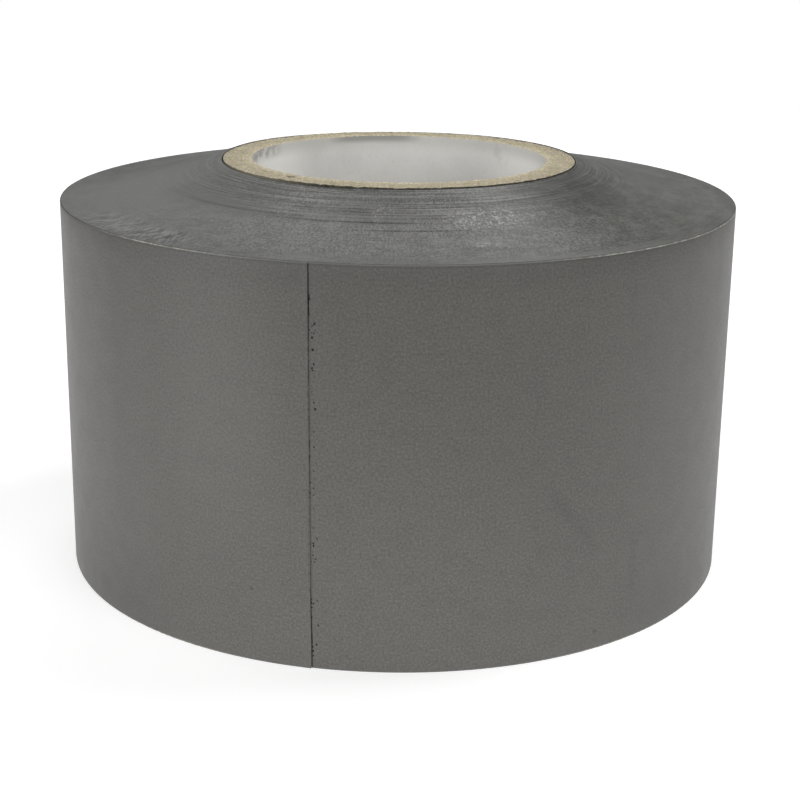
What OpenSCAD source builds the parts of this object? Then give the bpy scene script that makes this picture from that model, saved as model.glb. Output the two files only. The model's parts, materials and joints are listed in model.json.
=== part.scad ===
// Roll of adhesive plastic tape on a spiral-wound paper core.
// The roll stands on its end: +Z runs along the core, z = 0 is the outer turns' lower edge.
// The turns have crept along the core, so the inner turns and the core stand up past the outer ones.

/* [Core] */
// Inside radius of the core, for a nominal 38 mm hub
bore_r = 19.15; // [12:0.05:24]
// Thickness of the white paper that lines the core
liner_t = 0.35; // [0.2:0.05:0.6]
// Thickness of one chipboard ply
ply_t = 0.43; // [0.3:0.01:0.8]

/* [Tape] */
// Width of the tape, and length of the core
tape_w = 48; // [12:1:100]
// Pitch of the turns: film and adhesive together
tape_t = 0.13; // [0.1:0.01:0.4]
// Radius of the roll at the free end
roll_r = 43.7; // [36:0.1:80]

/* [Creep of the turns] */
// How far the core stands up past the outer turns
dish_h = 4.7; // [0.5:0.1:8]
// Power of the curve that the turns' edges follow
dish_power = 1.5; // [1:0.1:3]
// Width of the outer turns whose edges are still level
land_w = 2.4; // [1:0.1:4]

/* [Free end] */
// Angle of the free end around the roll, anticlockwise from +X
end_angle = 257.2; // [0:0.1:360]
// Angle of the length that peels off the roll
peel_angle = 30; // [12:1:60]
// Clearance between the peeling length and the turn under it
peel_gap = 0.02; // [0.01:0.01:0.04]

/* [Hidden] */
ply_count = 8;
end_count = 6;
dish_steps = 12;
core_r = bore_r + liner_t + ply_count * ply_t;
// The outer turns start at this radius and gain one tape_t over their last half turn.
turn_r = roll_r - tape_t;
land_r = roll_r - land_w;
end_step = peel_angle / end_count;
tape_colour = [0.42, 0.42, 0.4];
board_colour = [0.7, 0.65, 0.54];
lining_colour = [0.78, 0.77, 0.73];
$fn = 180;

// Height of the turns' edges above the outermost turn's edge, at radius r
function dish(r) = dish_h * pow(max(0, (land_r - r) / (land_r - core_r)), dish_power);

// Radii from the core to the level outer turns, then out to r
function dish_radii(r) = concat(
    [for (i = [0 : dish_steps]) core_r + (land_r - core_r) * i / dish_steps],
    [r]
);

// Section of the turns from the core out to r: both edges follow the dish
function turns_section(r) = concat(
    [for (x = dish_radii(r)) [x, dish(x)]],
    [for (i = [dish_steps + 1 : -1 : 0]) [dish_radii(r)[i], dish(dish_radii(r)[i]) + tape_w]]
);

// A tube of the core's length, at the core's height
module core_tube(r, wall) {
    translate([0, 0, dish_h]) difference() {
        cylinder(r = r + wall, h = tape_w);
        translate([0, 0, -1]) cylinder(r = r, h = tape_w + 2);
    }
}

// A strip of tape lying on the roll at radius r, from angle a over the angle sweep
module strip(r, thickness, a, sweep) {
    rotate_extrude(angle = sweep, start = a) translate([r, 0]) square([thickness, tape_w]);
}

// Places what lies on the second half of a turn: its centre is half a tape_t nearer the free end
module second_half() {
    translate([tape_t / 2, 0, 0]) children();
}

module core_liner() {
    color(lining_colour) core_tube(bore_r, liner_t);
}

// Ply n of the chipboard, counted from the lining outwards
module core_ply(n) {
    color(board_colour) core_tube(bore_r + liner_t + (n - 1) * ply_t, ply_t);
}

// Every turn but the outermost: a spiral made of two half rounds, one step of tape_t at the free end
module wound_tape() {
    color(tape_colour) rotate([0, 0, end_angle]) {
        rotate_extrude(angle = 180, start = 0) polygon(turns_section(turn_r - tape_t));
        difference() {
            second_half() rotate_extrude(angle = 180, start = 180)
                polygon(concat([[1, dish_h]], turns_section(turn_r - tape_t / 2), [[1, dish_h + tape_w]]));
            translate([0, 0, -1]) cylinder(r = core_r, h = tape_w + dish_h + 2);
        }
    }
}

// The outermost turn up to where the tape peels. It goes on from the step in the wound turns.
module outer_turn() {
    color(tape_colour) rotate([0, 0, end_angle]) {
        strip(turn_r - tape_t, tape_t, 0, 180);
        second_half() strip(turn_r - tape_t / 2, tape_t, 180, 180 - peel_angle);
    }
}

// Length n of the free end, counted from where the tape peels to the cut edge
module free_end(n) {
    color(tape_colour) rotate([0, 0, end_angle]) second_half()
        strip(turn_r - tape_t / 2 + peel_gap, tape_t - peel_gap, -peel_angle + (n - 1) * end_step, end_step);
}

core_liner();
for (n = [1 : ply_count]) {
    core_ply(n);
}
wound_tape();
outer_turn();
for (n = [1 : end_count]) {
    free_end(n);
}
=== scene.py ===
"""The looks of a roll of adhesive tape on a paper core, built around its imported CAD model.

Lengths are in metres, in the part's own frame: +Z runs along the core, and z = 0 is the outer turns' foot.
Angles run anticlockwise around the roll from +X. "Turned" angles are counted from the tape's free end.
"""

import json
import math

import bpy
import numpy as np
from mathutils import Matrix, Vector, noise


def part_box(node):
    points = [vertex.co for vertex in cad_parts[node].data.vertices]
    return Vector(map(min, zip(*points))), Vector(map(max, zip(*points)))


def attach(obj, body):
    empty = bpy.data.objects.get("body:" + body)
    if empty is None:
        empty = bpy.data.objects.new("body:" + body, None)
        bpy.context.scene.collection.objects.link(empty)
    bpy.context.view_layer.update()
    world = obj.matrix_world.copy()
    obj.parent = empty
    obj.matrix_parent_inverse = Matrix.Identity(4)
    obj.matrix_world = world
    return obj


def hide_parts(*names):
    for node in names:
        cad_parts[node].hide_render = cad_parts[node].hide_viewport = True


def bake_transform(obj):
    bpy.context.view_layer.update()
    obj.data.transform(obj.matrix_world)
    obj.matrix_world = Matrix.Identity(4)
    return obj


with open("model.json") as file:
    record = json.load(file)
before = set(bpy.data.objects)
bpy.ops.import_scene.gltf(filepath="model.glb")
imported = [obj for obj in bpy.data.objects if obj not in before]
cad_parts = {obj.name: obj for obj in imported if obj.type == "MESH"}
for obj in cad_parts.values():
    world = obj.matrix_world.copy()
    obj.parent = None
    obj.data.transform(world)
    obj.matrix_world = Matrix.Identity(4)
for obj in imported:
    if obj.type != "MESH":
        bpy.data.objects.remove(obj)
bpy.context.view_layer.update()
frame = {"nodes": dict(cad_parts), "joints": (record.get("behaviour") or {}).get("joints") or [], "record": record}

MM = 0.001

# ---------------------------------------------------------------- sizes taken from the frame

mounts = {m["name"]: m for m in frame["record"]["mounts"]}
joints = sorted(frame["joints"], key=lambda j: j["name"])
PLIES = sorted(n for n in frame["nodes"] if n.startswith("core_ply_"))
ENDS = sorted(n for n in frame["nodes"] if n.startswith("free_end_"))

BORE_R = mounts["core_bore"]["dims"]["r_mm"] * MM
LINER_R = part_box("core_liner")[1].x
CORE_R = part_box(PLIES[-1])[1].x
CORE_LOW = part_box("core_liner")[0].z
CORE_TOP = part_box("core_liner")[1].z
TAPE_W = CORE_TOP - CORE_LOW
# The turns near the core have crept up as far as the core has.
DISH = CORE_LOW
# The design's own values that the frame doesn't give
TAPE_T = 0.13 * MM
LAND_W = 2.4 * MM
DISH_POWER = 1.5
PEEL_GAP = 0.02 * MM


def angle_of(point):
    """Angle of a point around the roll."""
    return math.atan2(point[1], point[0]) % (2 * math.pi)


HINGES = [Vector(j["pos_m"]) for j in joints]
HINGE_ANGLES = [angle_of(p) for p in HINGES]
STEP = HINGE_ANGLES[1] - HINGE_ANGLES[0]
END_ANGLE = HINGE_ANGLES[-1] + STEP
PEEL = len(HINGES) * STEP
# Outside radius of the roll just past the free end, where the outermost turn starts
START_R = HINGES[0].xy.length - TAPE_T * (1 + math.cos(PEEL)) / 2
WOUND_R = START_R - TAPE_T
LAND_R = START_R + TAPE_T - LAND_W


def dish(r):
    """Height of the turns' edges above the outermost turn's edge."""
    share = np.clip((LAND_R - r) / (LAND_R - CORE_R), 0, None)
    return DISH * share**DISH_POWER


def spiral(turned):
    """How far a turn has moved out, 0 to 1, at an angle counted from the free end."""
    return np.where(turned < math.pi, 0.0, (1 + np.cos(turned)) / 2)


def smooth(a, b, x):
    """0 below a, 1 above b, and smooth between."""
    t = np.clip((x - a) / (b - a), 0, 1)
    return t * t * (3 - 2 * t)


def waves(angle, count, size, seed):
    """A smooth random function of an angle, made of count sine waves, about size high."""
    r = np.random.default_rng(seed)
    total = np.zeros_like(angle)
    for n in range(1, count + 1):
        total = total + r.normal() * np.cos(n * angle + r.uniform(0, 2 * math.pi)) / math.sqrt(n)
    return total * size / math.sqrt(count)


# ---------------------------------------------------------------- meshes


def mesh_piece(name, points, faces, materials, body=None, uv=None, face_material=None, sharp=40):
    """A mesh object of these points and faces. uv gives each point (length along the tape, height)."""
    mesh = bpy.data.meshes.new(name)
    mesh.from_pydata([tuple(p) for p in points], [], faces)
    for m in materials:
        mesh.materials.append(m)
    if face_material is not None:
        mesh.polygons.foreach_set("material_index", np.asarray(face_material, np.int32))
    if uv is not None:
        layer = mesh.uv_layers.new(name="tape")
        corners = np.zeros(len(mesh.loops), np.int32)
        mesh.loops.foreach_get("vertex_index", corners)
        layer.data.foreach_set("uv", np.asarray(uv, np.float32)[corners].ravel())
    mesh.validate()
    mesh.shade_smooth()
    mesh.set_sharp_from_angle(angle=math.radians(sharp))
    piece = bpy.data.objects.new(name, mesh)
    bpy.context.scene.collection.objects.link(piece)
    if body:
        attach(piece, body)
    return piece


def ring_faces(columns, rows, closed=True):
    """Quads of a grid of columns x rows points, numbered column by column. Each column is a closed section.

    The last column also joins the first, unless closed is False.
    """
    faces = []
    for i in range(columns if closed else columns - 1):
        a, b = i * rows, ((i + 1) % columns) * rows
        for k in range(rows):
            n = (k + 1) % rows
            faces.append((a + k, b + k, b + n, a + n))
    return faces


def end_caps(count, rows):
    """The two faces that close a row of count sections of this many points."""
    last = (count - 1) * rows
    return [tuple(range(rows - 1, -1, -1)), tuple(range(last, last + rows))]


# ---------------------------------------------------------------- materials


class Tree:
    """A node tree, with a short call for each kind of node that more than one thing here uses."""

    def __init__(self, tree):
        self.tree = tree

    def add(self, kind, **settings):
        """A new node with these settings."""
        node = self.tree.nodes.new(kind)
        for key, value in settings.items():
            setattr(node, key, value)
        return node

    def put(self, socket, value):
        """Gives a socket a plain value, or a link from another node."""
        if isinstance(value, bpy.types.NodeSocket):
            self.tree.links.new(value, socket)
        else:
            socket.default_value = value

    def math(self, operation, *values):
        node = self.add("ShaderNodeMath", operation=operation)
        for socket, value in zip(node.inputs, values):
            self.put(socket, value)
        return node.outputs[0]

    def split(self, vector):
        """The x, y and z of a vector."""
        node = self.add("ShaderNodeSeparateXYZ")
        self.put(node.inputs[0], vector)
        return node.outputs


class Nodes(Tree):
    """The node tree of a new material."""

    def __init__(self, name):
        self.material = bpy.data.materials.new(name)
        self.material.use_nodes = True
        super().__init__(self.material.node_tree)
        self.shader = self.tree.nodes["Principled BSDF"]

    def vector(self, x, y, z):
        node = self.add("ShaderNodeCombineXYZ")
        for socket, value in zip(node.inputs, (x, y, z)):
            self.put(socket, value)
        return node.outputs[0]

    def noise(self, vector, scale=1.0, detail=3.0, roughness=0.5):
        node = self.add("ShaderNodeTexNoise")
        self.put(node.inputs["Vector"], vector)
        self.put(node.inputs["Scale"], scale)
        self.put(node.inputs["Detail"], detail)
        self.put(node.inputs["Roughness"], roughness)
        return node.outputs["Fac"]

    def cells(self, vector, scale=1.0):
        """Distance to the nearest of randomly placed points."""
        node = self.add("ShaderNodeTexVoronoi")
        self.put(node.inputs["Vector"], vector)
        self.put(node.inputs["Scale"], scale)
        return node.outputs["Distance"]

    def span(self, value, low, high, to_low=0.0, to_high=1.0):
        """value taken from low..high to to_low..to_high, smoothly and clamped."""
        node = self.add("ShaderNodeMapRange", interpolation_type="SMOOTHSTEP")
        for socket, v in zip(node.inputs, (value, low, high, to_low, to_high)):
            self.put(socket, v)
        return node.outputs[0]

    def mix(self, factor, a, b):
        """Colour a where the factor is 0, and colour b where it is 1."""
        node = self.add("ShaderNodeMix", data_type="RGBA")
        self.put(node.inputs["Factor"], factor)
        self.put(node.inputs[6], a)
        self.put(node.inputs[7], b)
        return node.outputs[2]

    def tint(self, colour, mask, strength, tint):
        """The colour, taken this far to the tint where the mask is 1."""
        return self.mix(self.math("MULTIPLY", mask, strength), colour, tint)

    def tint_above(self, colour, pattern, low, high, tint, strength, mask=1.0):
        """The colour, tinted where the pattern is above low, and fully where it is above high."""
        share = self.span(pattern, low, high, 0.0, strength)
        return self.tint(colour, share, mask, tint)

    def tint_below(self, colour, pattern, low, high, tint, strength, mask=1.0):
        """The colour, tinted where the pattern is below high, and fully where it is below low."""
        share = self.span(pattern, low, high, strength, 0.0)
        return self.tint(colour, share, mask, tint)

    def bump(self, height, distance, strength=1.0):
        node = self.add("ShaderNodeBump")
        self.put(node.inputs["Height"], height)
        self.put(node.inputs["Distance"], distance)
        self.put(node.inputs["Strength"], strength)
        return node.outputs[0]

    def in_mm(self, vector):
        """A vector in metres as one in millimetres."""
        node = self.add("ShaderNodeVectorMath", operation="SCALE")
        self.put(node.inputs[0], vector)
        self.put(node.inputs["Scale"], 1 / MM)
        return node.outputs[0]

    def place(self):
        """The point on the object, in millimetres."""
        return self.in_mm(self.add("ShaderNodeTexCoord").outputs["Object"])

    def film_place(self):
        """The point on the tape, in millimetres: along its length, and up its width."""
        return self.in_mm(self.add("ShaderNodeUVMap", uv_map="tape").outputs[0])

    def stroke(self, at, x, y, tilt, half_length, half_width):
        """1 along a soft straight stroke centred on x, y, 0 away from it. tilt is in degrees."""
        right, up = math.cos(math.radians(tilt)), math.sin(math.radians(tilt))
        at_x, at_y, _ = self.split(at)
        at_x, at_y = self.math("SUBTRACT", at_x, x), self.math("SUBTRACT", at_y, y)
        along = self.math("ADD", self.math("MULTIPLY", at_x, right), self.math("MULTIPLY", at_y, up))
        aside = self.math("SUBTRACT", self.math("MULTIPLY", at_y, right), self.math("MULTIPLY", at_x, up))
        long_fade = self.span(self.math("ABSOLUTE", along), 0.2 * half_length, half_length, 1.0, 0.0)
        wide_fade = self.span(self.math("ABSOLUTE", aside), 0.1 * half_width, half_width, 1.0, 0.0)
        return self.math("MULTIPLY", long_fade, wide_fade)

    def finish(self, **inputs):
        """The material, with these inputs on its shader. An underscore stands for a space."""
        for name, value in inputs.items():
            self.put(self.shader.inputs[name.replace("_", " ")], value)
        return self.material


class Polar:
    """Nodes for a point's radius and direction from the roll's axis, for patterns that follow the turns.

    Radii are in millimetres. Angles are in degrees around the roll, apart from a lean, which is in radians.
    """

    def __init__(self, n):
        self.n = n
        self.at = n.place()
        x, y, self.z = n.split(self.at)
        self.radius = n.math("SQRT", n.math("ADD", n.math("MULTIPLY", x, x), n.math("MULTIPLY", y, y)))
        self.cx = n.math("DIVIDE", x, self.radius)
        self.cy = n.math("DIVIDE", y, self.radius)

    def grain(self, around, across, roughness, detail=2):
        """Noise that varies this often around the axis, each radian, and across the turns, each mm."""
        n = self.n
        x, y = n.math("MULTIPLY", self.cx, around), n.math("MULTIPLY", self.cy, around)
        return n.noise(n.vector(x, y, n.math("MULTIPLY", self.radius, across)), 1.0, detail, roughness)

    def leaning_grain(self, around, across, roughness, middle, lean):
        """As grain, in strokes that lean anticlockwise by lean for each mm out from the middle."""
        n = self.n
        turn = n.math("MULTIPLY", n.math("SUBTRACT", self.radius, middle), lean)
        x = n.math("ADD", self.cx, n.math("MULTIPLY", self.cy, turn))
        y = n.math("SUBTRACT", self.cy, n.math("MULTIPLY", self.cx, turn))
        x, y = n.math("MULTIPLY", x, around), n.math("MULTIPLY", y, around)
        return n.noise(n.vector(x, y, n.math("MULTIPLY", self.radius, across)), 1.0, 2, roughness)

    def sector(self, angle, spread):
        """1 around this angle, softly down to 0 at spread to each side of it."""
        n = self.n
        east, north = math.cos(math.radians(angle)), math.sin(math.radians(angle))
        facing = n.math("ADD", n.math("MULTIPLY", self.cx, east), n.math("MULTIPLY", self.cy, north))
        return n.span(facing, math.cos(math.radians(spread)), math.cos(math.radians(spread * 0.4)))

    def patch(self, angle, spread, middle, reach):
        """1 in a soft patch around this angle and radius, 0 past spread and reach."""
        n = self.n
        apart = n.math("ABSOLUTE", n.math("SUBTRACT", self.radius, middle))
        return n.math("MULTIPLY", self.sector(angle, spread), n.span(apart, reach * 0.4, reach, 1.0, 0.0))


WHITE = (1, 1, 1, 1)
# Near-black tint for dirt, dark grain and smudges, and also for painted shade
SOOT_AND_SHADE = (0.02, 0.02, 0.019, 1)

FILM_GREY = (0.0815, 0.0793, 0.0718, 1)
FILM_DARK = (0.0775, 0.0753, 0.0682, 1)
FILM_LOW = (0.03, 0.029, 0.028, 1)
FILM_HIGH = (0.14, 0.137, 0.13, 1)
FILM_LIT = (0.2, 0.196, 0.186, 1)
FILM_SPECK = (0.02, 0.02, 0.025, 1)
# Faint smudges and painted shade on the film: distance along the tape from its end, height, tilt in degrees, half
# length, half width and strength
SMUDGES_AND_SHADE = (
    (31.2, 17.2, -50, 8.0, 1.5, 0.15),
    (32.4, 26.3, -13, 6.5, 1.1, 0.07),
    # Painted shade: a long upright darker band on the wall's left
    (246.4, 33.0, 90, 26.0, 3.4, 0.09),
    (266.8, 9.0, 0, 0.35, 0.35, 0.55),
    (35.1, 2.3, 0, 0.4, 0.35, 0.5),
    (40.8, 9.0, 90, 6.0, 1.2, 0.12),
    (38.7, 41.0, 90, 6.0, 0.8, 0.08),
    # Painted shade: these two darken the foot of the wall on its left and on its right, as shade near the floor
    (241.0, 1.0, 0, 19.0, 13.0, 0.26),
    (52.0, 1.0, 0, 18.0, 11.0, 0.16),
)
# Paler parts of the film, given in the same way: painted light on the wall left of the seam and at the roll's far
# left
PAINTED_LIGHT_PATCHES = ((263.5, 31.0, 90, 24.0, 12.0, 0.09), (226.0, 30.0, 90, 40.0, 9.0, 0.12))


def film_material():
    """The tape's outside: satin grey film with a very fine grain, painted shade at its top and foot, painted light
    at its left.
    """
    n = Nodes("tape_film")
    at = n.film_place()
    grain = n.noise(at, 3.4, 4, 0.75)
    _, height, _ = n.split(at)
    below_edge = n.math("SUBTRACT", TAPE_W / MM, height)
    colour = n.mix(n.span(n.noise(at, 0.05, 3, 0.5), 0.35, 0.65), FILM_DARK, FILM_GREY)
    colour = n.tint_below(colour, n.noise(at, 0.4, 3, 0.55), 0.36, 0.56, FILM_LOW, 0.09)
    colour = n.tint_above(colour, grain, 0.50, 0.64, FILM_HIGH, 0.45)
    colour = n.tint_below(colour, grain, 0.36, 0.50, FILM_LOW, 0.45)
    # Painted shade: a dark line just under the top slit edge, and the top 4.5 mm of the wall a little darker
    colour = n.tint_below(colour, below_edge, 0.15, 0.55, SOOT_AND_SHADE, 0.40)
    colour = n.tint_below(colour, below_edge, 0.5, 4.5, SOOT_AND_SHADE, 0.13)
    for shapes, tint in ((SMUDGES_AND_SHADE, SOOT_AND_SHADE), (PAINTED_LIGHT_PATCHES, FILM_LIT)):
        for *shape, strength in shapes:
            colour = n.tint(colour, n.stroke(at, *shape), strength, tint)
    colour = n.tint_below(colour, n.cells(at, 0.11), 0.010, 0.018, FILM_SPECK, 0.5)
    relief = n.math("ADD", grain, n.math("MULTIPLY", n.noise(at, 1.0, 2, 0.5), 0.8))
    return n.finish(
        Base_Color=colour,
        Roughness=n.span(n.noise(at, 0.35, 3, 0.6), 0.3, 0.7, 0.48, 0.52),
        Normal=n.bump(relief, 0.006 * MM, 0.6),
        Specular_IOR_Level=0.65,
    )


# Where the painted highlight on the outermost turn's slit edge is left out: angle and spread
EDGE_WITHOUT_HIGHLIGHT = ((269, 38), (196, 34))


def edge_highlight_material():
    """The slit edge of the outermost turn, painted pale as a highlight line."""
    n = Nodes("tape_edge_highlight")
    polar = Polar(n)
    highlight_variation = n.noise(polar.at, 1.5, 3, 0.6)
    colour = n.mix(n.span(highlight_variation, 0.35, 0.65), (0.17, 0.167, 0.152, 1), (0.34, 0.333, 0.30, 1))
    for angle, spread in EDGE_WITHOUT_HIGHLIGHT:
        colour = n.mix(polar.sector(angle, spread), colour, (0.105, 0.104, 0.096, 1))
    return n.finish(Base_Color=colour, Roughness=0.45)


def adhesive_material():
    """The tape's inside: a smooth coat of pressure-sensitive adhesive."""
    n = Nodes("tape_adhesive")
    along, up, _ = n.split(n.film_place())
    stretched = n.vector(n.math("MULTIPLY", along, 0.15), n.math("MULTIPLY", up, 0.8), 0.0)
    mottle = n.noise(stretched, 1.0, 4, 0.6)
    colour = n.mix(n.span(mottle, 0.3, 0.7), (0.17, 0.168, 0.155, 1), (0.22, 0.217, 0.2, 1))
    return n.finish(
        Base_Color=colour,
        Roughness=n.span(mottle, 0.3, 0.7, 0.22, 0.38),
        Normal=n.bump(mottle, 0.02 * MM, 0.5),
        IOR=1.48,
    )


# Colours of the outer turns' edges, of the edges near the core, and of what lies on them, from dark to pale
OUTER_EDGES = (0.102, 0.1027, 0.092, 1)
CORE_EDGES = ((0.052, 0.0522, 0.0475, 1), (0.088, 0.0885, 0.081, 1))
EDGE_SHADE = (0.03, 0.03, 0.029, 1)
LINE_DARK = (0.035, 0.035, 0.033, 1)
EDGE_PALE = (0.15, 0.151, 0.14, 1)
LINE_PALE = (0.19, 0.19, 0.179, 1)
GRAIN_PALE = (0.2, 0.2, 0.188, 1)
SCRATCH_PALE = (0.21, 0.21, 0.198, 1)
CHATTER_PALE = (0.25, 0.25, 0.235, 1)
SCUFF_PALE = (0.42, 0.42, 0.40, 1)
# The lines along the turns are full out to the first of these radii and gone at the second.
LINED_R = (27.4, 31.2)
# Scuffed places on the turns' edges: angle, spread, radius, reach, in degrees and millimetres, and strength
SCUFFS = (
    (290, 12, 30.3, 3.2, 1.0),
    (267, 4, 28.2, 1.9, 0.8),
    (286, 3, 36.6, 1.0, 1.0),
    (305, 7, 29.8, 2.0, 0.5),
)
# Chatter marks: where they are, as above, and the fineness and lean of each of two crossing sets of strokes
CHATTER = (220, 18, 40.6, 3.6)
CHATTER_STROKES = ((120.0, 0.016), (150.0, -0.004))
# Paler and darker parts of the turns' edges: angle, spread, radius, reach and strength.
# The paler ones at 184 to 204 degrees are painted light on the top's more brightly lit left side;
# the darker ones near the core are painted shade between the highlights on the turns' edges.
PALER_PATCHES = (
    (204, 42, 35.0, 11.0, 0.45),
    (184, 34, 29.0, 13.0, 0.6),
    (256, 9, 28.5, 4.0, 0.2),
    (298, 24, 44.2, 3.4, 0.6),
    (192, 22, 37.0, 12.0, 0.3),
)
PAINTED_SHADE_PATCHES = ((220, 24, 27.5, 6.0, 0.3), (264, 14, 26.0, 5.0, 0.3), (318, 24, 28.5, 6.0, 0.22))
# Shallow grooves along the turns: radius in millimetres, first and last angle in degrees, strength
GROOVES = ((30.24, 214, 240, 0.5), (30.9, 244, 268, 0.38), (32.85, 268, 280, 0.3), (29.4, 296, 336, 0.12))
GROOVE_REACH = 0.36


def mark_edges(n, polar, colour):
    """Adds what lies on the turns' edges to their colour: grooves, scuffs, uneven tones, painted light and shade,
    and chatter marks.
    """
    # The grooves are darkened in colour too: painted shade in them
    for groove_r, first, last, strength in GROOVES:
        arc = polar.patch((first + last) / 2, last - first, groove_r, GROOVE_REACH)
        colour = n.tint(colour, arc, strength, SOOT_AND_SHADE)
    marks = n.span(polar.grain(74.0, 2.0, 0.7, detail=3), 0.51, 0.61)
    for *where, strength in SCUFFS:
        scuff = n.math("MULTIPLY", polar.patch(*where), marks)
        colour = n.tint(colour, scuff, 0.62 * strength, SCUFF_PALE)
    for parts, tint in ((PALER_PATCHES, EDGE_PALE), (PAINTED_SHADE_PATCHES, EDGE_SHADE)):
        for *where, strength in parts:
            colour = n.tint(colour, polar.patch(*where), strength, tint)
    chattered = polar.patch(*CHATTER)
    for fineness, lean in CHATTER_STROKES:
        ripple = polar.leaning_grain(fineness, 0.5, 0.6, CHATTER[2], lean)
        colour = n.tint_above(colour, ripple, 0.50, 0.62, CHATTER_PALE, 0.75, chattered)
        colour = n.tint_below(colour, ripple, 0.40, 0.49, EDGE_SHADE, 0.6, chattered)
    return colour


def edges_material():
    """The cut edges of all the turns: concentric lines near the core and a fine scratchy grain outside."""
    n = Nodes("tape_edges")
    polar = Polar(n)
    line = polar.grain(1.5, 3.7, 0.75)
    band = polar.grain(2.5, 1.6, 0.5)
    scratch = polar.grain(165.0, 2.4, 0.6)
    blotch = polar.grain(11.0, 0.5, 0.6)
    speckle = polar.grain(112.0, 2.4, 0.65)
    # Everything is weaker at the back and sides, and the lines are weaker still at the right of the core.
    inner = n.span(polar.radius, *LINED_R, 1.0, 0.0)
    front = n.math("ADD", 0.65, n.math("MULTIPLY", polar.sector(246, 88), 0.35))
    scratched = n.math("MULTIPLY", n.math("SUBTRACT", 1.0, n.math("MULTIPLY", inner, 0.15)), front)
    calm = n.math("SUBTRACT", 1.0, n.math("MULTIPLY", polar.patch(340, 40, 27.0, 14.0), 0.5))
    lined = n.math("MULTIPLY", n.math("MULTIPLY", inner, front), calm)
    colour = n.mix(inner, OUTER_EDGES, n.mix(n.span(band, 0.35, 0.65), *CORE_EDGES))
    colour = n.tint_above(colour, scratch, 0.50, 0.62, SCRATCH_PALE, 0.75, scratched)
    colour = n.tint_below(colour, scratch, 0.38, 0.50, SOOT_AND_SHADE, 0.75, scratched)
    colour = n.tint_above(colour, blotch, 0.52, 0.64, GRAIN_PALE, 0.24)
    colour = n.tint_below(colour, blotch, 0.36, 0.48, SOOT_AND_SHADE, 0.24)
    colour = n.tint_above(colour, line, 0.51, 0.58, LINE_DARK, 0.95, lined)
    colour = n.tint_below(colour, line, 0.42, 0.49, LINE_PALE, 0.95, lined)
    colour = n.tint_above(colour, speckle, 0.50, 0.62, GRAIN_PALE, 0.55, lined)
    colour = n.tint_below(colour, speckle, 0.38, 0.50, SOOT_AND_SHADE, 0.55, lined)
    colour = mark_edges(n, polar, colour)
    lines = n.math("MULTIPLY", n.math("ADD", line, n.math("MULTIPLY", band, 0.7)), lined)
    height = n.math("ADD", n.math("MULTIPLY", scratch, 0.8), n.math("MULTIPLY", lines, 0.8))
    return n.finish(
        Base_Color=colour,
        Roughness=n.span(scratch, 0.3, 0.7, 0.36, 0.48),
        Specular_IOR_Level=0.75,
        Normal=n.bump(height, 0.05 * MM, 0.7),
        Anisotropic=0.8,
        Anisotropic_Rotation=0.25,
        Tangent=n.add("ShaderNodeTangent", direction_type="RADIAL", axis="Z").outputs[0],
    )


BOARD_TAN = (0.63, 0.56, 0.405)
BOARD_DARK = (0.35, 0.305, 0.212)
BOARD_FLECK = (0.80, 0.77, 0.68, 1)
BOARD_PIT = (0.12, 0.10, 0.07, 1)
BOARD_TORN = (0.09, 0.08, 0.05, 1)
# A torn place on the core's end: angle, spread, radius and reach
TORN = (230.5, 2.6, 20.6, 0.5)


def board_material(name, tone):
    """Cut chipboard: tan-grey, with fibres, pale flecks, dark pits and a torn place."""
    n = Nodes(name)
    polar = Polar(n)
    at = polar.at
    x, y, z = n.split(at)
    fibre = n.noise(n.vector(x, y, n.math("MULTIPLY", z, 3.0)), 3.5, 5, 0.7)
    base, dark = (tuple(tone * c for c in shade) + (1,) for shade in (BOARD_TAN, BOARD_DARK))
    colour = n.mix(n.span(fibre, 0.38, 0.58), dark, base)
    colour = n.tint_above(colour, n.noise(at, 0.45, 2, 0.5), 0.35, 0.65, dark, 0.3)
    colour = n.tint_below(colour, n.cells(at, 1.6), 0.12, 0.22, BOARD_FLECK, 0.8)
    colour = n.tint_below(colour, n.cells(n.vector(y, z, x), 0.7), 0.05, 0.11, BOARD_PIT, 0.7)
    colour = n.tint(colour, polar.patch(*TORN), 0.7, BOARD_TORN)
    return n.finish(
        Base_Color=colour,
        Roughness=0.92,
        Normal=n.bump(fibre, 0.12 * MM, 0.8),
        Specular_IOR_Level=0.25,
    )


PAPER_GREY = (0.555, 0.548, 0.525, 1)
PAPER_WHITE = (0.60, 0.592, 0.568, 1)
PAPER_LIT = (0.88, 0.865, 0.83, 1)
PAPER_FIBRE = (0.40, 0.39, 0.36, 1)
PAPER_SHADED = (0.36, 0.35, 0.32, 1)
PAPER_DIRT = (0.16, 0.15, 0.12, 1)
PAPER_STAIN = (0.10, 0.095, 0.08, 1)
# Dirt on the lining below its end: angle, spread, how far down, and strength
LINING_DIRT = ((43, 5, 4.0, 0.17), (163, 18, 2.0, 0.45))


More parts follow.
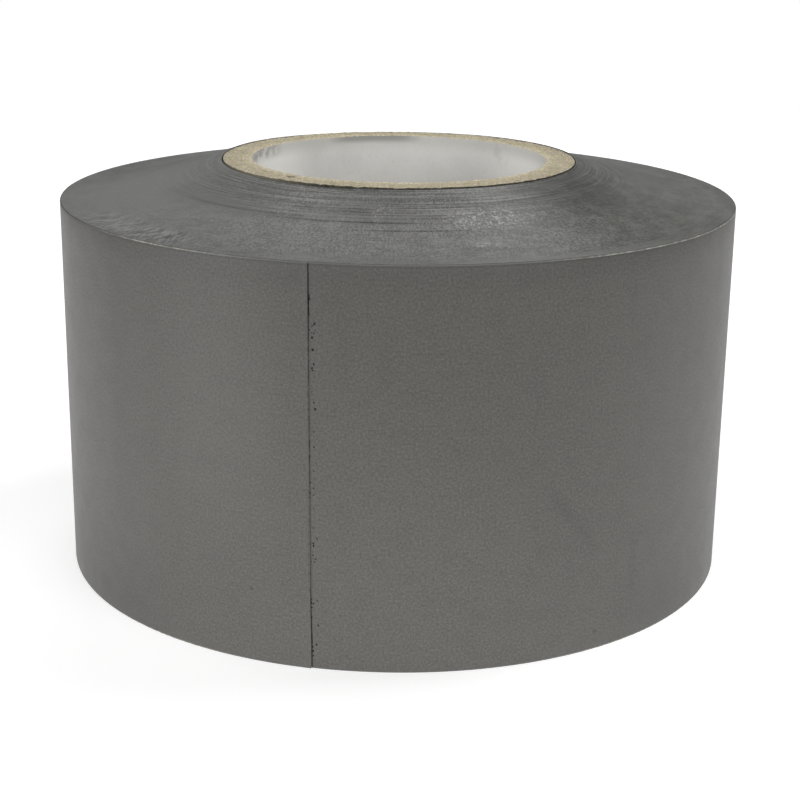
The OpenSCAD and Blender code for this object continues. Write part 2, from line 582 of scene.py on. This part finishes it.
def lining_material():
    """The bore's white paper lining: faint fibres, soft wrinkles, a little dirt, and painted light at its left and
    right.
    """
    n = Nodes("core_lining_paper")
    polar = Polar(n)
    at = polar.at
    cloud = n.noise(at, 0.12, 3, 0.55)
    fibre = n.noise(at, 2.6, 4, 0.65)
    below_end = n.math("SUBTRACT", CORE_TOP / MM, polar.z)
    colour = n.mix(n.span(cloud, 0.35, 0.65), PAPER_GREY, PAPER_WHITE)
    colour = n.tint_above(colour, fibre, 0.50, 0.70, PAPER_FIBRE, 0.22)
    # Painted light: the lining is paler towards its left and right, where the bore is seen at a glancing angle
    colour = n.mix(n.span(n.math("ABSOLUTE", polar.cx), 0.55, 0.97), colour, PAPER_LIT)
    colour = n.tint_below(colour, below_end, 0.4, 2.4, PAPER_SHADED, 0.45)
    colour = n.tint_below(colour, below_end, 0.4, 1.3, PAPER_STAIN, 0.55, polar.sector(101, 22))
    blotches = n.span(n.noise(at, 0.6, 2, 0.5), 0.36, 0.58)
    for angle, spread, depth, strength in LINING_DIRT:
        dirt = n.math("MULTIPLY", polar.sector(angle, spread), blotches)
        colour = n.tint_below(colour, below_end, 0.4 * depth, depth, PAPER_DIRT, strength, dirt)
    return n.finish(
        Base_Color=colour,
        Roughness=0.6,
        Normal=n.bump(n.math("ADD", cloud, n.math("MULTIPLY", fibre, 0.3)), 0.08 * MM, 0.4),
        Specular_IOR_Level=0.5,
    )


# The grime thins out between these heights, in millimetres.
THIN_GRIME_Z = (43.8, 45.2)


def grime_material(name, thin_colour):
    """Squeezed-out adhesive that has gathered dust. It is thinner, and so paler, in places and at the top."""
    n = Nodes(name)
    at = n.place()
    _, _, height = n.split(at)
    colour = n.mix(n.span(n.noise(at, 0.35, 3, 0.6), 0.42, 0.58), thin_colour, (0.008, 0.008, 0.013, 1))
    colour = n.tint_above(colour, height, *THIN_GRIME_Z, thin_colour, 0.9)
    return n.finish(Base_Color=colour, Roughness=0.75, Specular_IOR_Level=0.1)


def core_side_material():
    """The core's outside, painted dark as the shade in the gap around it, and as adhesive stain. It is paler on
    the left.
    """
    n = Nodes("core_side")
    polar = Polar(n)
    mottle = n.noise(polar.at, 2.0, 3, 0.6)
    colour = n.mix(n.span(mottle, 0.3, 0.7), (0.035, 0.034, 0.028, 1), (0.08, 0.078, 0.065, 1))
    colour = n.mix(polar.sector(192, 56), colour, (0.17, 0.16, 0.125, 1))
    return n.finish(Base_Color=colour, Roughness=0.95, Specular_IOR_Level=0.05)


FILM = film_material()
EDGE_HIGHLIGHT = edge_highlight_material()
ADHESIVE = adhesive_material()
EDGES = edges_material()
LINING = lining_material()
GRIME = grime_material("seam_grime", (0.05, 0.047, 0.048, 1))
SPECKS = grime_material("seam_specks", (0.02, 0.018, 0.02, 1))
CORE_SIDE = core_side_material()

# ---------------------------------------------------------------- the tape

WOUND_COLUMNS = 320
# Heights of the turns' edges vary most out to the first of these radii, and least past the second.
UNEVEN_R = (27.4 * MM, 32.2 * MM)
# Neighbouring turns stand up together: the width of such bands, and their height
HEIGHT_BANDS = ((0.4 * MM, 0.085 * MM), (1.1 * MM, 0.14 * MM))
# The turns within this distance of the core have sunk a little, most at the front, which faces the camera.
SUNK_W = 2.6 * MM
FRONT_ANGLE = math.radians(275)
GROOVE_DEPTH = 0.25 * MM
GROOVE_FADE = 15
WOUND_TURNS = round((WOUND_R - CORE_R) / TAPE_T)
TURN_PITCH = (WOUND_R - CORE_R) / WOUND_TURNS


def turn_heights(turned):
    """Random height of each turn's edge, which varies slowly around the roll: turns x angles."""
    r = np.random.default_rng(11)
    radii = CORE_R + np.arange(WOUND_TURNS + 2) * TURN_PITCH
    near_core = 1 - smooth(*UNEVEN_R, radii)
    size = (0.006 + 0.022 * near_core) * MM
    heights = np.zeros((len(radii), len(turned)))
    for k in range(len(radii)):
        heights[k] = size[k] * (r.normal() + waves(turned, 3, 0.7, 100 + k))
        for scale, depth in HEIGHT_BANDS:
            band = [noise.noise(Vector((radii[k] / scale, math.cos(t), math.sin(t)))) for t in turned]
            heights[k] += depth * (0.15 + 0.85 * near_core[k]) * np.array(band)
    front = np.maximum(0, np.cos(turned + END_ANGLE - FRONT_ANGLE))
    sunk = 1 - smooth(CORE_R, CORE_R + SUNK_W, radii)
    heights -= sunk[:, None] * (0.03 + 0.26 * front) * MM
    heights[0] -= (0.03 + 0.17 * front) * MM
    around = np.degrees(turned + END_ANGLE) % 360
    for groove_r, first, last, strength in GROOVES:
        k = round((groove_r * MM - CORE_R) / TURN_PITCH)
        begun = smooth(first - GROOVE_FADE, first, around)
        ended = smooth(last, last + GROOVE_FADE, around)
        heights[k] -= GROOVE_DEPTH * strength * begun * (1 - ended)
    return radii, heights


def make_wound_tape():
    """All the turns but the outermost, as one closed spiral solid with every turn's edge on both ends."""
    columns = WOUND_COLUMNS
    turned = np.arange(columns) * 2 * math.pi / columns
    radii, heights = turn_heights(turned)
    lines = WOUND_TURNS + 1
    # Line k at the last column goes on as line k + 1 at the first, so the first column has one line more.
    index = np.full((lines + 1, columns), -1)
    points, uv = [], []
    for end in (1, 0):
        for k in range(lines + 1):
            for j in range(columns if k < lines else 1):
                r = radii[k] + float(spiral(turned[j])) * TURN_PITCH
                z = max(0.0, float(dish(r)) + end * TAPE_W + heights[k][j] * (1 if end else -1))
                angle = END_ANGLE + turned[j]
                points.append((r * math.cos(angle), r * math.sin(angle), z))
                uv.append((turned[j] * r, z))
                if end:
                    index[k][j] = len(points) - 1
    per_end = len(points) // 2

    def at(end, k, j):
        if j == columns:
            k, j = k + 1, 0
        return int(index[k][j]) + (0 if end else per_end)

    on_end, on_film = 0, 1
    faces, material = [], []
    for k in range(lines - 1):
        for j in range(columns):
            top = (at(1, k, j), at(1, k + 1, j), at(1, k + 1, j + 1), at(1, k, j + 1))
            foot = (at(0, k, j + 1), at(0, k + 1, j + 1), at(0, k + 1, j), at(0, k, j))
            faces += [top, foot]
            material += [on_end, on_end]
    for k, wall_material in ((0, on_end), (lines - 1, on_film)):
        top_loop = [at(1, k, j) for j in range(columns + 1)]
        foot_loop = [at(0, k, j) for j in range(columns + 1)]
        for i in range(columns + 1):
            n = (i + 1) % (columns + 1)
            wall = (foot_loop[i], foot_loop[n], top_loop[n], top_loop[i])
            faces.append(wall if k else wall[::-1])
            material.append(wall_material)
    piece = mesh_piece("wound_turns", points, faces, [EDGES, FILM], "roll", uv, material)
    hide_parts("wound_tape")


FILM_ROWS = 22
# The film's slit edges are rounded over this height, at these shares of its thickness and of that height.
FILM_EDGE = 0.15 * MM
EDGE_ROUND = ((0.86, 0.3), (0.62, 0.0), (0.38, 0.0), (0.14, 0.3))
# How near the cut the free end lifts off the turn under it, and how near it the slanting cut shows
LIFT_REACH = 1.6 * MM
SLANT_REACH = 1.9 * MM
TIP_LIFT = 0.05 * MM
# The cut leans out by this much at the foot and not at all above this height, and it waves.
CUT_LEAN = 0.33 * MM
CUT_LEAN_HEIGHT = 16 * MM
CUT_WAVE = 0.03 * MM
CUT_WAVE_LENGTH = 3.1 * MM


def film_section():
    """Section of the film: (share of the thickness, height) anticlockwise from the outside's foot."""
    low, high = FILM_EDGE, TAPE_W - FILM_EDGE
    outside = [(1.0, z) for z in np.linspace(low, high, FILM_ROWS)]
    top = [(share, TAPE_W - down * FILM_EDGE) for share, down in EDGE_ROUND]
    inside = [(0.0, z) for z in np.linspace(high, low, FILM_ROWS)]
    foot = [(share, up * FILM_EDGE) for share, up in EDGE_ROUND[::-1]]
    return outside + top + inside + foot


def film_radius(turned):
    """Inside radius of the outermost turn at an angle counted on from the start of that turn."""
    return WOUND_R + TAPE_T * spiral(turned)


def columns_between(first, last, count):
    """Angles from first to last, with one more very near each, so that pieces that meet shade as one."""
    near = 1e-4
    return np.concatenate([[first], np.linspace(first + near, last - near, count), [last]])


def film_points(turned, lift=0.0, gap=0.0, end_slant=False):
    """Points of a length of the outermost turn: columns x section. turned is a list of angles."""
    section = film_section()
    points, uv = [], []
    last = turned[-1]
    for t in turned:
        lifted = smooth(last - LIFT_REACH / START_R, last, t) if end_slant else 0.0
        slanted = smooth(last - SLANT_REACH / START_R, last, t) if end_slant else 0.0
        inside = float(film_radius(t)) + gap + lift * lifted**2
        for share, z in section:
            angle = t + cut_offset(z) * slanted / START_R
            r = inside + share * (TAPE_T - gap) + film_swell(angle, z)
            a = END_ANGLE + angle
            points.append((r * math.cos(a), r * math.sin(a), z + edge_wander(angle, z)))
            uv.append((START_R * angle, z))
    return points, uv


def cut_offset(z):
    """How far the hand-cut end runs on past a straight cut. It leans out at the foot and waves a little."""
    lean = CUT_LEAN * (1 - float(smooth(0, CUT_LEAN_HEIGHT, z)))
    return lean + CUT_WAVE * math.sin(z / CUT_WAVE_LENGTH)


def film_swell(angle, z):
    """Slow unevenness of the film over the turns under it."""
    p = Vector((math.cos(angle) * 2.2, math.sin(angle) * 2.2, z / (16 * MM)))
    return -0.012 * MM * (0.5 + 0.5 * noise.noise(p))


def edge_wander(angle, z):
    """The slit edges wander a little along the tape."""
    side = 2 * z / TAPE_W - 1
    p = Vector((math.cos(angle) * 9, math.sin(angle) * 9, 3 * round(side)))
    return -side * 0.02 * MM * (0.5 + 0.5 * noise.noise(p))


def film_piece(name, turned, **shape):
    """A closed length of film between the first and last of the given angles."""
    points, uv = film_points(turned, **shape)
    rows = len(points) // len(turned)
    faces = ring_faces(len(turned), rows, closed=False)
    outside, inside, edge = 0, 1, 2
    around = []
    for side in (outside, inside):
        around += [side] * (FILM_ROWS - 1) + [edge] * (len(EDGE_ROUND) + 1)
    material = [around[i % rows] for i in range(len(faces))] + [inside, inside]
    faces += end_caps(len(turned), rows)
    piece = mesh_piece(name, points, faces, [FILM, ADHESIVE, EDGE_HIGHLIGHT], None, uv, material)
    return piece


def make_outer_turn():
    """The outermost turn, from the step in the wound turns to where it peels."""
    stop = 2 * math.pi - PEEL
    turned = columns_between(0, stop, round(math.degrees(stop) / 0.9))
    piece = film_piece("outer_turn_film", turned)
    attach(piece, "roll")
    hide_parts("outer_turn")


def make_free_end():
    """The length that peels: one piece for each hinge, and a tip on the last free-end body."""
    start = 2 * math.pi - PEEL
    for k, node in enumerate(ENDS):
        first = start + (k - 0.5) * STEP if k else start
        last = start + (k + 0.5) * STEP
        piece = film_piece(f"free_end_film_{k + 1}", columns_between(first, last, 10), gap=PEEL_GAP)
        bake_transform(piece)
        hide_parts(node)
    tip = columns_between(2 * math.pi - STEP / 2, 2 * math.pi, 14)
    piece = film_piece("free_end_tip", tip, gap=PEEL_GAP, lift=TIP_LIFT, end_slant=True)
    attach(piece, ENDS[-1])


BLOB_SIDES = 9
# The rings of points that make a lump: share of its size, and share of its height
BLOB_RINGS = ((1.0, -0.15), (0.72, 0.55), (0.35, 0.95))


def blob(centre, up, across, size, height, seed):
    """Points and faces of a low irregular lump on a surface."""
    rim = 1 + 0.35 * np.random.default_rng(seed).normal(size=BLOB_SIDES)
    along = up.cross(across)
    points = []
    for ring, lift in BLOB_RINGS:
        for i in range(BLOB_SIDES):
            a = 2 * math.pi * i / BLOB_SIDES
            out = across * math.cos(a) + along * math.sin(a) * 1.25
            points.append(centre + out * size * ring * max(0.4, rim[i]) + up * height * lift)
    points.append(centre + up * height)
    points.append(centre + up * height * BLOB_RINGS[0][1])
    top, foot = len(points) - 2, len(points) - 1
    inner = (len(BLOB_RINGS) - 1) * BLOB_SIDES
    faces = []
    for i in range(BLOB_SIDES):
        n = (i + 1) % BLOB_SIDES
        for first in range(0, inner, BLOB_SIDES):
            faces.append((first + i, first + n, first + BLOB_SIDES + n, first + BLOB_SIDES + i))
        faces.append((inner + i, inner + n, top))
        faces.append((n, i, foot))
    return points, faces


def on_roll(distance, z):
    """A point on the turn under the free end, a distance past the cut, and the outward direction there."""
    angle = END_ANGLE + (cut_offset(z) + distance) / START_R
    outward = Vector((math.cos(angle), math.sin(angle), 0))
    return outward * START_R + Vector((0, 0, z)), outward


BEAD_ROWS = 160
# Section of the bead along the cut: share of its width, and share of its height
BEAD_SECTION = ((-0.05, -0.02), (0.3, 0.75), (0.65, 0.85), (1.0, -0.02))
BEAD_HEIGHT = 0.07 * MM


def make_seam_bead():
    """A thin uneven bead of dirty adhesive along the cut."""
    points = []
    for i in range(BEAD_ROWS):
        z = TAPE_W * (0.005 + 0.99 * i / (BEAD_ROWS - 1))
        slow = noise.noise(Vector((z * 900, 0, 0)))
        quick = noise.noise(Vector((z * 3000, 5, 0)))
        width = (0.13 + 0.05 * slow + 0.04 * quick) * MM
        for across, up in BEAD_SECTION:
            p, outward = on_roll(0.02 * MM + across * width, z)
            points.append(p + outward * up * BEAD_HEIGHT)
    rows = len(BEAD_SECTION)
    faces = ring_faces(BEAD_ROWS, rows, closed=False) + end_caps(BEAD_ROWS, rows)
    bead = mesh_piece("seam_bead", points, [f[::-1] for f in faces], [GRIME], "roll")


# The larger specks at the seam, in millimetres: distance from the cut, height and size
SPOTS = (
    (0.1, 43.95, 0.2),
    (0.1, 42.2, 0.14),
    (0.12, 40.5, 0.1),
    (0.1, 21.6, 0.1),
    (0.12, 11.9, 0.13),
    (0.14, 8.2, 0.13),
    (0.14, 6.4, 0.11),
    (0.1, 2.65, 0.15),
    (0.1, 2.2, 0.17),
    (0.78, 41.2, 0.13),
    (0.5, 39.6, 0.11),
    (0.6, 38.2, 0.11),
    (0.7, 36.6, 0.09),
    (0.5, 36.1, 0.11),
)


def make_seam_specks():
    """Specks of dirt at the seam: the larger ones, small ones in the bead and small ones beside it."""
    r = np.random.default_rng(23)
    spots = list(SPOTS)
    spots += [(r.uniform(0.05, 0.2), r.uniform(1, 47), r.uniform(0.05, 0.1)) for _ in range(30)]
    spots += [(r.normal(0.69, 0.13), r.uniform(2, 42), r.uniform(0.045, 0.095)) for _ in range(38)]
    points, faces = [], []
    for i, (distance, height, size) in enumerate(spots):
        p, outward = on_roll(distance * MM, height * MM)
        across = Vector((-outward.y, outward.x, 0))
        more, more_faces = blob(p, outward, across, size * MM, size * 0.35 * MM, 300 + i)
        faces += [tuple(len(points) + v for v in f) for f in more_faces]
        points += more
    specks = mesh_piece("seam_specks", points, faces, [SPECKS], "roll")


# ---------------------------------------------------------------- the core

CORE_COLUMNS = 360
# A ply stands this far inside its CAD node's walls.
PLY_INSET = 0.003 * MM
# The points of a ply's section: shares of its thickness across an end, and distances from the end down a wall
END_SHARES = (0.0, 0.1, 0.35, 0.65, 0.9, 1.0)
WALL_STEPS = (0.15 * MM, 0.6 * MM, 3.0 * MM)
CHAMFER_REACH = 0.5 * MM
FRAY_SIZE = 0.5 * MM


def ply_section():
    """Section of a ply, from its upper outer corner.

    Each point has a share of the thickness, 1 or 0 for the upper or lower end, and a distance from that end.
    """
    top = [(share, 1, 0.0) for share in END_SHARES[::-1]]
    inside = [(0.0, 1, down) for down in WALL_STEPS] + [(0.0, 0, down) for down in WALL_STEPS[::-1]]
    foot = [(share, 0, 0.0) for share in END_SHARES]
    outside = [(1.0, 0, down) for down in WALL_STEPS] + [(1.0, 1, down) for down in WALL_STEPS[::-1]]
    return top + inside + foot + outside


def make_core_ring(name, node, inside, outside, materials, rough, chamfer=0.0):
    """One ply of the core: a closed tube with frayed, uneven ends. materials: its ends, and its walls."""
    wall = outside - inside
    seed = sum(map(ord, node))
    section = ply_section()
    points = []
    for j in range(CORE_COLUMNS):
        angle = 2 * math.pi * j / CORE_COLUMNS
        for share, end, down in section:
            near_end = max(0.0, 1 - down / CHAMFER_REACH)
            r = inside + PLY_INSET + share * (wall - 2 * PLY_INSET) - share * chamfer * near_end
            x, y = r * math.cos(angle), r * math.sin(angle)
            p = Vector((x / FRAY_SIZE, y / FRAY_SIZE, seed + 9 * end))
            fray = min(0.0, rough * (noise.noise(p) + 0.5 * noise.noise(p * 2.7) - 0.6))
            rounding = 0.03 * wall * abs(2 * share - 1) ** 4
            below = down if down else rounding - fray
            points.append((x, y, CORE_TOP - below if end else CORE_LOW + below))
    count = len(section)
    faces = [f[::-1] for f in ring_faces(CORE_COLUMNS, count)]
    on_end, on_wall = 0, 1
    around = 2 * ([on_end] * (len(END_SHARES) - 1) + [on_wall] * (2 * len(WALL_STEPS) + 1))
    material = [around[i % count] for i in range(len(faces))]
    piece = mesh_piece(name, points, faces, materials, "roll", None, material, sharp=60)
    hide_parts(node)


# How light each ply's chipboard is, from the inside out
PLY_TONES = (1.14, 1.08, 1.0, 0.98, 1.0, 0.97, 0.99, 0.95)
OUTER_CHAMFER = 0.12 * MM


def make_core():
    """The lining and the chipboard plies around it. The outermost ply's corners are worn down."""
    liner_end = board_material("lining_end", 1.25)
    make_core_ring("core_lining", "core_liner", BORE_R, LINER_R, [liner_end, LINING], 0.12 * MM)
    inside = LINER_R
    for k, node in enumerate(PLIES):
        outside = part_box(node)[1].x
        board = board_material(f"chipboard_{k + 1}", PLY_TONES[k])
        last = node == PLIES[-1]
        materials = [board, CORE_SIDE if last else board]
        chamfer = OUTER_CHAMFER if last else 0.0
        make_core_ring(f"chipboard_ply_{k + 1}", node, inside, outside, materials, 0.1 * MM, chamfer)
        inside = outside


make_wound_tape()
make_outer_turn()
make_free_end()
make_seam_bead()
make_seam_specks()
make_core()

# ---------------------------------------------------------------- floor, light and camera


def floor_material():
    """White paper, lit a little from below."""
    n = Nodes("floor_paper")
    cloud = n.noise(n.place(), 0.02, 2, 0.5)
    return n.finish(
        Base_Color=n.mix(n.span(cloud, 0.3, 0.7, 0.0, 0.02), (0.9, 0.9, 0.9, 1), WHITE),
        Roughness=0.8,
        Specular_IOR_Level=0.2,
        Emission_Color=WHITE,
        Emission_Strength=0.45,
    )


def make_floor():
    """A plain pale sheet on a light table. It ends a little in front of the roll, to light its foot less."""
    left, right, front, back = -0.6, 0.6, -0.12, 0.43
    corners = [(left, front, 0), (right, front, 0), (right, back, 0), (left, back, 0)]
    mesh = bpy.data.meshes.new("floor")
    mesh.from_pydata(corners, [], [(0, 1, 2, 3)])
    mesh.materials.append(floor_material())
    floor = bpy.data.objects.new("floor", mesh)
    bpy.context.scene.collection.objects.link(floor)


def area_light(name, place, size, power):
    """A square softbox that faces the roll."""
    data = bpy.data.lights.new(name, "AREA")
    data.size = size
    data.energy = power
    lamp = bpy.data.objects.new(name, data)
    lamp.location = place
    lamp.rotation_euler = (Vector((0, 0, 0.02)) - Vector(place)).to_track_quat("-Z", "Y").to_euler()
    bpy.context.scene.collection.objects.link(lamp)


# Name, place, size and power of each softbox
SOFTBOXES = (
    ("back", (0, 0.5, 0.6), 0.35, 0.72),
    ("back_left", (-0.38, 0.42, 0.45), 0.35, 0.35),
    ("low_left", (-0.45, -0.3, 0.12), 0.2, 0.66),
    ("front_right", (0.38, -0.42, 0.3), 0.3, 0.64),
    ("high_left", (-0.28, 0.1, 0.55), 0.2, 0.38),
    ("high_right", (0.28, 0.1, 0.55), 0.2, 0.98),
)
FRONT_GLOW = 2.25
BACK_GLOW = 0.30


def make_light():
    """A white backdrop, a broad soft light on the camera's side, a weaker one behind, and softboxes."""
    world = bpy.data.worlds.new("studio")
    world.use_nodes = True
    bpy.context.scene.world = world
    n = Tree(world.node_tree)
    _, back, up = n.split(n.add("ShaderNodeTexCoord").outputs["Generated"])
    behind = n.math("POWER", n.math("MAXIMUM", back, 0.0), 2.0)
    ahead = n.math("POWER", n.math("MAXIMUM", n.math("MULTIPLY", back, -1.0), 0.0), 2.0)
    glow = n.math("ADD", n.math("MULTIPLY", behind, BACK_GLOW), n.math("MULTIPLY", ahead, FRONT_GLOW))
    lit = n.tree.nodes["Background"]
    n.put(lit.inputs["Color"], WHITE)
    n.put(lit.inputs["Strength"], n.math("MULTIPLY", glow, n.math("GREATER_THAN", up, 0.0)))
    backdrop = n.add("ShaderNodeBackground")
    n.put(backdrop.inputs["Color"], WHITE)
    either = n.add("ShaderNodeMixShader")
    n.put(either.inputs[0], n.add("ShaderNodeLightPath").outputs["Is Camera Ray"])
    n.put(either.inputs[1], lit.outputs[0])
    n.put(either.inputs[2], backdrop.outputs[0])
    n.put(n.tree.nodes["World Output"].inputs["Surface"], either.outputs[0])
    for name, place, size, power in SOFTBOXES:
        area_light(name, place, size, power)
    bpy.context.scene.view_settings.view_transform = "Standard"


# The camera's distance from what it aims at, its height angle and tilt, and its lens, as fitted to the photo
CAMERA_DISTANCE = 234.53 * MM
CAMERA_ELEVATION = math.radians(17.07)
CAMERA_TILT = math.radians(0.72)
CAMERA_AIM = (0.52 * MM, 0, 19.52 * MM)
CAMERA_LENS = 77.59


def make_camera():
    """A camera in front of the roll, a little above it."""
    back = Vector((0, -math.cos(CAMERA_ELEVATION), math.sin(CAMERA_ELEVATION)))
    place = Matrix.Translation(Vector(CAMERA_AIM) + back * CAMERA_DISTANCE)
    look = (-back).to_track_quat("-Z", "Y").to_matrix().to_4x4()
    data = bpy.data.cameras.new("camera")
    data.sensor_width = 36
    data.lens = CAMERA_LENS
    data.clip_start = 0.01
    camera = bpy.data.objects.new("camera", data)
    camera.matrix_world = place @ look @ Matrix.Rotation(CAMERA_TILT, 4, "Z")
    bpy.context.scene.collection.objects.link(camera)
    bpy.context.scene.camera = camera


make_floor()
make_light()
make_camera()
